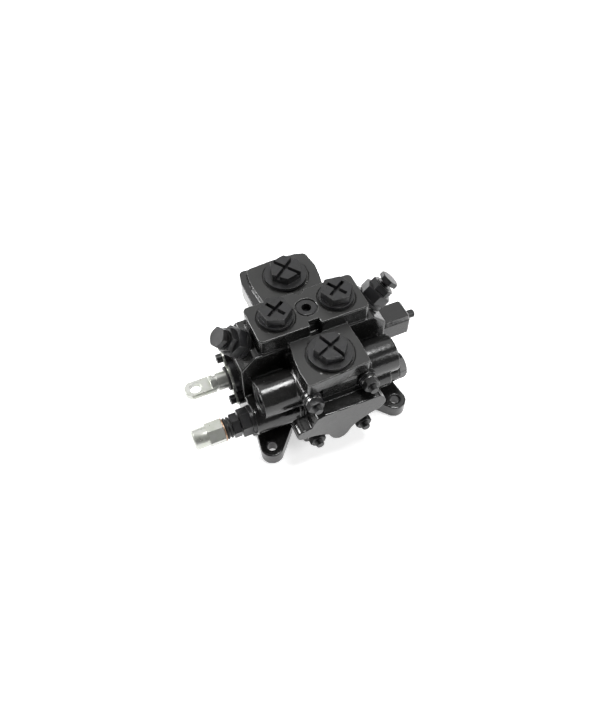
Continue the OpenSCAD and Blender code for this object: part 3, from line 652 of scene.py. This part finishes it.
def coil(node, axis, turns, pressed_by=None, room=0.0):
    """A helical spring in its CAD tube's place, with closed ends. Given a pressing body, it keeps
    its place and joins no body; room is left at its end for a piece that comes in there."""
    centre, length, radius = cylinder_of(node, axis)
    wire = WIRE_SHARE * radius
    middle = radius - wire
    place = axis_frame(centre - Vector(axis).normalized() * length / 2, axis)
    length -= room
    span = length - 2 * wire
    rings = []
    for i in range(turns * COIL_STEPS + 1):
        part = i / (turns * COIL_STEPS)
        climb = part - math.sin(2 * math.pi * part) / (2 * math.pi) * END_CLOSING
        angle = 2 * math.pi * turns * part
        outward = Vector((math.cos(angle), math.sin(angle), 0))
        at = outward * middle + Vector((0, 0, wire + span * climb))
        rings.append([place @ (at + outward * wire * math.cos(a) + Vector((0, 0, wire * math.sin(a))))
                      for a in (2 * math.pi * k / COIL_SIDES for k in range(COIL_SIDES))])
    ends = (place @ Vector((0, 0, 0)), place @ Vector((0, 0, length)))
    press = (pressed_by, *ends) if pressed_by else None
    return stand_for(link(node + "_coil", ring_mesh(node + "_coil", rings)), node, press)


def springs():
    """Coils; those that a sliding piece presses keep their place and join no body."""
    coil("centring_spring", (1, 0, 0), 6)
    coil("load_check_spring", (0, 0, 1), 5, "load_check")
    coil("compensator_spring", (1, 0, 0), 8, "compensator")
    for side, turns in (("main", 7), ("left", 6), ("right", 6)):
        axis = JOINTS[side + "_adjuster_turn"]["axis"]
        coil(side + "_relief_spring", axis, turns, side + "_poppet", PLATE_TRAVEL)


def round_rings():
    """The two rubber rings on the main relief's neck, with rounded outer faces."""
    bm = bmesh.new()
    for low, high in split_boxes("main_relief_rings"):
        centre = (low + high) / 2
        half, outer = (high.x - low.x) / 2, (high.y - low.y) / 2
        inner = outer - RING_HEIGHT
        place = axis_frame(centre, (1, 0, 0))
        bow = [(half * math.sin(a), inner + (outer - inner) * math.cos(a))
               for a in (math.radians(d) for d in range(-90, 91, 15))]
        rings = turned(place, [(-half, inner - RING_BITE)] + bow)
        bm.from_mesh(ring_mesh("ring", rings, closed=False))
    mesh = bpy.data.meshes.new("main_relief_round_rings")
    bm.to_mesh(mesh)
    bm.free()
    shade_smooth(mesh)
    return stand_for(link("main_relief_round_rings", mesh), "main_relief_rings")


# ---------- all pieces ----------

def build():
    """The pieces with a shape of their own first, then the rest as copies of their nodes."""
    valve_casting()
    plain_casting("front_cover", 0.5, 5, 0.04)
    plain_casting("end_cap", 0.45, 4, 0.03)
    cover_studs()
    springs()
    round_rings()
    for side in ("left", "right"):
        relief_stem(side, JOINTS[side + "_adjuster_turn"]["axis"])
    made = {n for o in bpy.data.objects for n in (o.get("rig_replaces") or [])}
    for node in sorted(set(NODES) - made):
        refined(node, edge_round(node))


build()


# ---------- floor, light and camera ----------

def studio():
    """A pale floor in an evenly grey room."""
    bm = bmesh.new()
    bmesh.ops.create_grid(bm, x_segments=8, y_segments=8, size=4.0)
    mesh = bpy.data.meshes.new("floor")
    bm.to_mesh(mesh)
    bm.free()
    mesh.materials.append(floor_paper())
    floor = link("floor", mesh)
    floor.location.z = cad_box[0][2] - FLOOR_GAP
    world = bpy.data.worlds.new("room")
    world.use_nodes = True
    background = world.node_tree.nodes["Background"]
    background.inputs[0].default_value = (ROOM_GREY, ROOM_GREY, ROOM_GREY, 1)
    background.inputs[1].default_value = ROOM_STRENGTH
    bpy.context.scene.world = world


def softbox(name, place, size, power):
    """A square light that faces the valve."""
    light = bpy.data.lights.new(name, "AREA")
    light.shape = "SQUARE"
    light.size = size
    light.energy = power
    lamp = bpy.data.objects.new(name, light)
    lamp.location = place
    lamp.rotation_mode = "QUATERNION"
    lamp.rotation_quaternion = (Vector(place) - Vector((0, 0, 0.05))).to_track_quat("Z", "Y")
    bpy.context.scene.collection.objects.link(lamp)


def camera():
    """Seen from the front left, from well above."""
    turn, lift = math.radians(CAMERA_TURN), math.radians(CAMERA_LIFT)
    back = Vector((math.sin(turn) * math.cos(lift), -math.cos(turn) * math.cos(lift), math.sin(lift)))
    cam = bpy.data.objects.new("camera", bpy.data.cameras.new("camera"))
    bpy.context.scene.collection.objects.link(cam)
    cam.data.lens = CAMERA_LENS
    cam.data.sensor_width = CAMERA_SENSOR
    cam.location = CAMERA_AT
    cam.rotation_mode = "QUATERNION"
    cam.rotation_quaternion = (-back).to_track_quat("-Z", "Y")
    bpy.context.scene.camera = cam


studio()
softbox("key", (-1.1, 0.7, 0.8), 0.5, 22)
softbox("top", (0.25, 0.05, 1.3), 0.35, 9)
softbox("fill", (0.9, -0.9, 0.9), 0.6, 10)
softbox("back", (0.35, 1.3, 1.5), 2.2, 16)
camera()
bpy.context.scene.view_settings.view_transform = "Standard"
